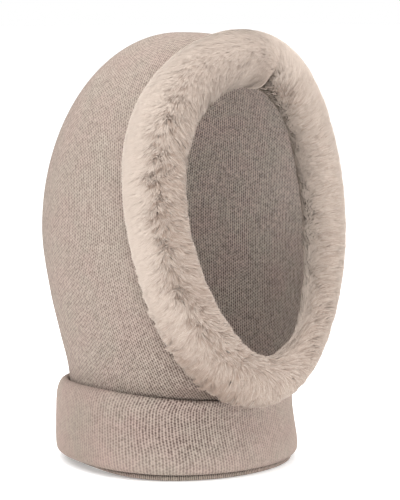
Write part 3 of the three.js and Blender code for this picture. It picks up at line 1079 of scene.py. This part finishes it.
BIG_CLUMP, SMALL_CLUMP = 60, 14
tips = clump(roots, tips, BIG_CLUMP, 0.3 * ruffle**1.5 + 0.25 * parted, 11)
tips = clump(roots, tips, SMALL_CLUMP, 0.5 * ruffle**1.5 + 0.1 * parted, 12)
print("locks in a clump:", BIG_CLUMP, "and", SMALL_CLUMP)

# %% The width of every lock, and its tone with painted light and shade
BLADE = 0.52
broad = BLADE * (0.75 + 0.5 * rng.random(LOCKS))
tip_spin = spin + tip_round / mm_section
inner_back = near_angle(tip_spin, 85, 45)
inner_low = near_angle(tip_spin, 86, 32) * near_angle(angle, 336, 36)
painted_shade_under_side = near_angle(tip_spin, 325, 34) * near_angle(angle, 238, 28)
painted_shade_near_crease = bump_at(past, 8, 10) * near_angle(spin, 190, 45)
varied = 0.3 * rng.normal(0, 1, LOCKS) + 0.35 * wave_noise(angle, spin, 50, 220, 50)
lock_tone_and_painted_light = ruffle * varied + painted_light_out * outside + painted_light_in * (1 - outside)
# Painted shade at partings, the crease, tufts and under the chin; painted light on the far band's inner side.
for lighter, where in [
    (-0.36, parted), (-0.45, fold), (-0.26, painted_shade_near_crease), (-0.2, tufts),
    (0.48, inner_back), (0.3, inner_low), (-0.45, painted_shade_under_side), (0.12, speckled),
]:
    lock_tone_and_painted_light = lock_tone_and_painted_light + lighter * where
bloom = roll_normal(angle + tip_along / mm_along, spin + tip_round / mm_section)
print("shades of the locks:", lock_tone_and_painted_light.min().round(2), "to", lock_tone_and_painted_light.max().round(2))

# %% The joined locks
PIECES = 4


def locks_of(name, chosen):
    """One mesh of many locks, each the pattern bent along its own curve."""
    start, middle, end = (placed(p[chosen])[:, None] for p in (roots, middles, tips))
    t = blade_share[None, :, None]
    line = (1 - t) ** 2 * start + 2 * t * (1 - t) * (2 * middle - (start + end) / 2) + t**2 * end
    facing = bloom[chosen] + 0.7 * ruffle[chosen][:, None] * rng.normal(0, 1, (len(chosen), 3))
    sideways = unit(np.cross(end[:, 0] - start[:, 0], facing))
    taper = np.where(blade_share > 0.4, 0.85, 1.0)
    half_widths = (broad[chosen] * MM)[:, None, None] * (blade_across * taper)[None, :, None]
    points = line + half_widths * sideways[:, None]
    faces = blade_faces[None] + (np.arange(len(chosen)) * len(blade_points))[:, None, None]
    mesh = bpy.data.meshes.new(name)
    mesh.from_pydata(points.reshape(-1, 3), [], faces.reshape(-1, 3))
    # painted shade at the root rising to painted light at the tip, plus each lock's tone and painted light
    shade = 0.25 + 0.5 * blade_share[None] + lock_tone_and_painted_light[chosen][:, None]
    mesh.attributes.new("tone", "FLOAT", "POINT").data.foreach_set("value", shade.ravel().astype(np.float32))
    mesh.shade_smooth()
    along = unit(end[:, 0] - start[:, 0])
    upright = np.clip(((along * bloom[chosen]).sum(-1, keepdims=True) - 0.5) / 0.4, 0, 1)
    own_face = unit(np.cross(sideways, along))
    forward = np.array([0, -1, 0]) * (0.5 * inner_back + 0.5 * inner_low)[chosen][:, None]
    jitter = 0.1 * rng.normal(size=(len(chosen), 3))
    soft = unit(bloom[chosen] * (1 - 0.8 * upright) + own_face * 0.8 * upright + forward + jitter)
    mesh.normals_split_custom_set_from_vertices(np.repeat(soft, len(blade_points), axis=0))
    return show(name, mesh)


order = np.argsort(angle)
pile = [locks_of(f"fur_pile_{i + 1}", part) for i, part in enumerate(np.array_split(order, PIECES))]
print("triangles in a piece of pile:", len(pile[0].data.polygons))

# %% [markdown]
# ## The pile finish
#
# Each lock is darker at its root, a painted shade, and lightest at its tip, a painted light where it
# catches the light, and no two locks are quite the same shade. A little sheen gives the soft bloom that
# fine hair has at a glancing angle.

# %% The pile material
fur = Finish("plush pile")
drift_tone = (fur.noise(45, 2.0) - 0.5) * 0.25
ramp = (fur.mark("tone") * 1.15 + drift_tone).limited()
fur_colour = fur.between(ramp, (0.285, 0.212, 0.170, 1), (0.546, 0.464, 0.402, 1))
fur.surface(Base_Color=fur_colour, Roughness=0.85, Specular_IOR_Level=0.15)
fur.surface(Sheen_Weight=0.25, Sheen_Roughness=0.4, Sheen_Tint=(0.9, 0.82, 0.75, 1))
for part in pile:
    part.data.materials.append(fur.material)

backing = Finish("plush backing")
under_hair = backing.between(backing.noise(900, 2.0), (0.38, 0.315, 0.268, 1), (0.43, 0.36, 0.31, 1))
backing.surface(Base_Color=under_hair, Roughness=0.95)
core.data.materials.append(backing.material)
print("finishes:", [m.name for m in bpy.data.materials])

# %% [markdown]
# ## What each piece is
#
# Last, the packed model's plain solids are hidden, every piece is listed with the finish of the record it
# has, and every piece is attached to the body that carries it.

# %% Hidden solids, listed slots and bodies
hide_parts("hood_shell")
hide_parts("lining")
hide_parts("fur_trim")
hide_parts("cuff_band")
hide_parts("hem_roll")
slots = [(shell, "shell_knit"), (lining, "lining_knit"), (core, "fur")]
slots += [(cuff, "cuff_knit"), (hem, "cuff_knit")] + [(part, "fur") for part in pile]
for piece, slot in slots:
    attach(piece, "root")
